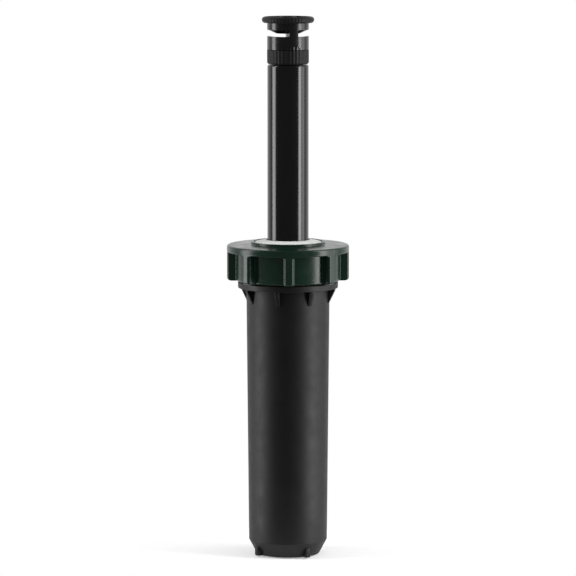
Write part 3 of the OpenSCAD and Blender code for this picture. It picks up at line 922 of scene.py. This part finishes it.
class SPRINKLER_OT_deflector(bpy.types.Operator):
    """Turning deflector: sleeve with its ribbed pointer, web, cone and serrated disc."""
    bl_idname = "sprinkler.deflector"
    bl_label = "Deflector"

    def execute(self, context):
        s, black = sizes(), nozzle_finish()
        depth = s.knurl_depth / MM
        sleeve = eased([
            (8.35, 240.42, 0.15), (SLEEVE_R, 240.42, 0.1), (SLEEVE_R, 246.7, 0.25),
            (8.35, 246.7, 0.2),
        ])
        sleeve = with_levels(sleeve, 240.5, 243.0, 0.16, SLEEVE_R)

        def pointer_top(bearing):
            at = math.degrees(bearing)
            at = at - 360 if at > 180 else at
            start, knee, end = POINTER
            if at < start or at > end:
                return 0.0
            if at < knee:
                return POINTER_TOP
            return POINTER_TOP - POINTER_FALL * (at - knee) / (end - knee)

        def where(r, z, bearing):
            return 1.0 if r > 9.5 and z < pointer_top(bearing) else 0.0

        def shaped(point):
            x, y, z = point
            back = min(1.0, max(0.0, (y - FALL_START) / FALL_RUN))
            fall = SLEEVE_FALL * back * back * (3 - 2 * back) if z > 246 else 0.0
            return (x, y, z - fall)

        shell = bmesh.new()
        rings = ribbed_rings(sleeve, s.knurl * 10, s.knurl, depth, where)
        add_skin(shell, [[shaped(point) for point in ring] for ring in rings])
        place(to_object(shell, "deflector_sleeve", black), "deflector", "nozzle_plastic")

        head = eased([
            (0, 248.0, 0), (5.6, 248.0, 0.25), (SLEEVE_R, 249.8, 0.25), (SLEEVE_R, 253.2, 0),
            (0, 253.2, 0),
        ], steps=5)
        disc = eased([
            (DISC_BORE, 253.0, 0.05), (11.5, 253.0, 0.3), (12.3, 253.8, 0.4), (12.3, 255.1, 0.6),
            (11.4, 255.8, 0.3), (10.8, 255.8, 0.15), (10.5, 254.9, 0.15), (4.3, 254.9, 0.15),
            (4.0, 256.0, 0.25), (3.1, 256.0, 0.15), (3.1, 254.0, 0.1), (DISC_BORE, 254.0, 0.05),
        ], steps=5)

        def rim(r, z, bearing):
            return 1.0 if r > 11.9 and 252.9 < z < 255.45 else 0.0

        shell = bmesh.new()
        fine = s.serration_depth / MM
        add_skin(shell, ribbed_rings(disc, s.serrations * 8, s.serrations, fine, rim))
        place(to_object(shell, "deflector_disc", grip_finish()), "deflector", "nozzle_plastic")
        body = lathe("deflector_head", black, head)
        bore = peg(0, 0, DISC_BORE, 247.0, 255.0, 32)
        shell = bmesh.new()
        add_plate(shell, [(0.0, 247.5), (11.0, 247.5), (11.0, 249.1), (0.0, 249.1)], NOTCH_WIDTH)
        notch = to_object(shell, "notch", black)
        notch.data.transform(Matrix.Rotation(math.radians(NOTCH_BEARING - 90), 4, "Z"))
        place(cut(body, bore, notch), "deflector", "nozzle_plastic", "deflector")

        shell = bmesh.new()
        half = WEB_WIDTH / 2
        reach = math.sqrt(SLEEVE_R ** 2 - half ** 2)
        arc = [(SLEEVE_R * math.cos(a), SLEEVE_R * math.sin(a)) for a in
               [math.asin(half / SLEEVE_R) * (k / 4 - 1) for k in range(9)]]
        plan = [(WEB_ROOT, half), (WEB_ROOT, -half)] + arc
        low, high = WEB_LEVELS
        rings = [[(sum(p[0] for p in plan) / len(plan), 0, low)], [(x, y, low) for x, y in plan],
                 [(x, y, high) for x, y in plan], [(reach * 0.75, 0, high)]]
        add_skin(shell, rings)
        bmesh.ops.rotate(shell, verts=shell.verts, cent=(0, 0, 0),
                         matrix=Matrix.Rotation(s.web_bearing - math.pi / 2, 3, "Z"))
        place(to_object(shell, "deflector_web", black), "deflector", "nozzle_plastic")
        return {"FINISHED"}


class SPRINKLER_OT_screw(bpy.types.Operator):
    """Radius screw with its driver slot and thread, and the finish of the throttle plug on it."""
    bl_idname = "sprinkler.screw"
    bl_label = "Radius screw"

    def execute(self, context):
        steel = steel_finish()
        outline = eased([
            (0, 232.4, 0), (0.9, 232.4, 0.1), (1.12, 232.7, 0.1), (1.12, 254.05, 0.1),
            (2.8, 254.05, 0.15), (2.8, 255.5, 0.4), (0, 255.5, 0),
        ])
        body = lathe("radius_screw_body", steel, outline, sides=64)
        shell = bmesh.new()
        add_plate(shell, [(-4, 254.7), (4, 254.7), (4, 257), (-4, 257)], 0.8)
        slot = to_object(shell, "slot", steel)
        place(cut(body, slot), "screw", "screw_steel", "radius_screw")
        place(ridge("radius_screw_thread", steel), "screw", "screw_steel")
        dress("throttle_plug", natural_finish())
        return {"FINISHED"}


# ------------------------------------ stage

LIGHT_AWAY, LIGHT_TALL, LIGHT_MIDDLE = 0.9, 1.7, 0.32
GLOSS_RANGE = (0.11, 0.95)  # brightness mirrored in front of and behind the object
GLOSS_REACH = (-0.1, 0.75)  # part of the depth direction over which it changes
FILL_LIGHT = 0.42
FLOOR_R, FLOOR_Z, FLOOR_SIDES = 0.16, -0.0005, 96
FLOOR_GLOW = 0.33
FLOOR_FADE = (0.02, 0.095)  # the floor is opaque up to the first and gone at the second


def strip_light(name, bearing, width, brightness):
    """Tall soft light at a bearing in degrees, width in degrees seen from the object."""
    data = bpy.data.lights.new(name, "AREA")
    data.shape = "RECTANGLE"
    data.size = 2 * LIGHT_AWAY * math.tan(math.radians(width / 2))
    data.size_y = LIGHT_TALL
    data.energy = brightness * math.pi * data.size * data.size_y
    lamp = link(name, data)
    angle = math.radians(bearing)
    lamp.location = (LIGHT_AWAY * math.sin(angle), -LIGHT_AWAY * math.cos(angle), LIGHT_MIDDLE)
    lamp.rotation_euler = (math.pi / 2, 0, angle)
    lamp.visible_camera = False


def smooth_range(tree, value, source, target):
    """Result of a smooth step from one range to another."""
    node = tree.nodes.new("ShaderNodeMapRange")
    node.interpolation_type = "SMOOTHSTEP"
    for key, level in zip(("From Min", "From Max", "To Min", "To Max"), (*source, *target)):
        node.inputs[key].default_value = level
    tree.links.new(value, node.inputs["Value"])
    return node.outputs["Result"]


def set_world():
    """White surroundings, dimmer where the front of the object mirrors them."""
    world = bpy.data.worlds.new("studio")
    bpy.context.scene.world = world
    world.use_nodes = True
    tree = world.node_tree
    tree.nodes.clear()
    out = tree.nodes.new("ShaderNodeOutputWorld")
    path = tree.nodes.new("ShaderNodeLightPath")
    where = tree.nodes.new("ShaderNodeTexCoord")
    split = tree.nodes.new("ShaderNodeSeparateXYZ")
    tree.links.new(where.outputs["Generated"], split.inputs[0])
    depth = smooth_range(tree, split.outputs["Y"], GLOSS_REACH, GLOSS_RANGE)

    def backdrop(strength):
        node = tree.nodes.new("ShaderNodeBackground")
        node.inputs["Color"].default_value = (1, 1, 1, 1)
        if isinstance(strength, bpy.types.NodeSocket):
            tree.links.new(strength, node.inputs["Strength"])
        else:
            node.inputs["Strength"].default_value = strength
        return node.outputs[0]

    def choose(flag, low, high):
        node = tree.nodes.new("ShaderNodeMixShader")
        tree.links.new(flag, node.inputs[0])
        tree.links.new(low, node.inputs[1])
        tree.links.new(high, node.inputs[2])
        return node.outputs[0]

    shaded = choose(path.outputs["Is Glossy Ray"], backdrop(FILL_LIGHT), backdrop(depth))
    seen = choose(path.outputs["Is Camera Ray"], shaded, backdrop(1.0))
    tree.links.new(seen, out.inputs["Surface"])


class SPRINKLER_OT_stage(bpy.types.Operator):
    """Pale floor, soft lights and the camera."""
    bl_idname = "sprinkler.stage"
    bl_label = "Stage"

    def execute(self, context):
        studio = context.scene.sprinkler_studio
        shell = bmesh.new()
        centre = shell.verts.new((0, 0, FLOOR_Z))
        rim = [shell.verts.new(point) for point in circle(FLOOR_R, FLOOR_Z, FLOOR_SIDES)]
        for k in range(FLOOR_SIDES):
            shell.faces.new((centre, rim[k], rim[(k + 1) % FLOOR_SIDES]))
        pale = bpy.data.materials.new("pale_floor")
        pale.use_nodes = True
        tree = pale.node_tree
        shader = tree.nodes["Principled BSDF"]
        shader.inputs["Base Color"].default_value = (*studio.floor, 1)
        shader.inputs["Roughness"].default_value = 0.9
        shader.inputs["Specular IOR Level"].default_value = 0.1
        shader.inputs["Emission Color"].default_value = (*studio.floor, 1)
        shader.inputs["Emission Strength"].default_value = FLOOR_GLOW
        where = tree.nodes.new("ShaderNodeTexCoord")
        away = tree.nodes.new("ShaderNodeVectorMath")
        away.operation = "LENGTH"
        tree.links.new(where.outputs["Object"], away.inputs[0])
        fade = smooth_range(tree, away.outputs["Value"], FLOOR_FADE, (1.0, 0.0))
        tree.links.new(fade, shader.inputs["Alpha"])
        mesh = bpy.data.meshes.new("floor")
        shell.to_mesh(mesh)
        shell.free()
        mesh.materials.append(pale)
        link("floor", mesh)
        strip_light("left_strip", -85, 22, studio.left_light)
        strip_light("right_strip", 69, 15, studio.right_light)
        strip_light("side_strip", 90, 26, studio.side_light)
        set_world()
        data = bpy.data.cameras.new("camera")
        data.lens = studio.lens
        data.sensor_width = 36
        data.clip_end = 20
        camera = link("camera", data)
        camera.location = (0, -studio.distance, studio.height)
        aim = Vector((0, 0, studio.aim)) - camera.location
        camera.rotation_euler = aim.to_track_quat("-Z", "Y").to_euler()
        context.scene.camera = camera
        context.scene.view_settings.view_transform = "Standard"
        return {"FINISHED"}


# ------------------------------------ add-on

class SPRINKLER_PT_panel(bpy.types.Panel):
    """Sidebar panel with the settings and one button for each piece."""
    bl_idname = "SPRINKLER_PT_panel"
    bl_label = "Pop-up sprinkler"
    bl_space_type = "VIEW_3D"
    bl_region_type = "UI"
    bl_category = "Sprinkler"

    def draw(self, context):
        for group in (context.scene.sprinkler_sizes, context.scene.sprinkler_finish,
                      context.scene.sprinkler_studio):
            box = self.layout.box()
            for key in group.__annotations__:
                box.prop(group, key)
        for step in STEPS:
            self.layout.operator(step.bl_idname)


STEPS = (SPRINKLER_OT_case, SPRINKLER_OT_cap, SPRINKLER_OT_seals, SPRINKLER_OT_spring,
         SPRINKLER_OT_riser, SPRINKLER_OT_nozzle, SPRINKLER_OT_deflector, SPRINKLER_OT_screw,
         SPRINKLER_OT_stage)
GROUPS = {"sprinkler_sizes": SprinklerSizes, "sprinkler_finish": SprinklerFinish,
          "sprinkler_studio": SprinklerStudio}


def register():
    for made in (*GROUPS.values(), *STEPS, SPRINKLER_PT_panel):
        bpy.utils.register_class(made)
    for key, group in GROUPS.items():
        setattr(bpy.types.Scene, key, bpy.props.PointerProperty(type=group))


def unregister():
    for key in GROUPS:
        delattr(bpy.types.Scene, key)
    for made in reversed((*GROUPS.values(), *STEPS, SPRINKLER_PT_panel)):
        bpy.utils.unregister_class(made)


def main():
    register()
    for step in STEPS:
        area, action = step.bl_idname.split(".")
        getattr(getattr(bpy.ops, area), action)()


if __name__ == "__main__":
    main()
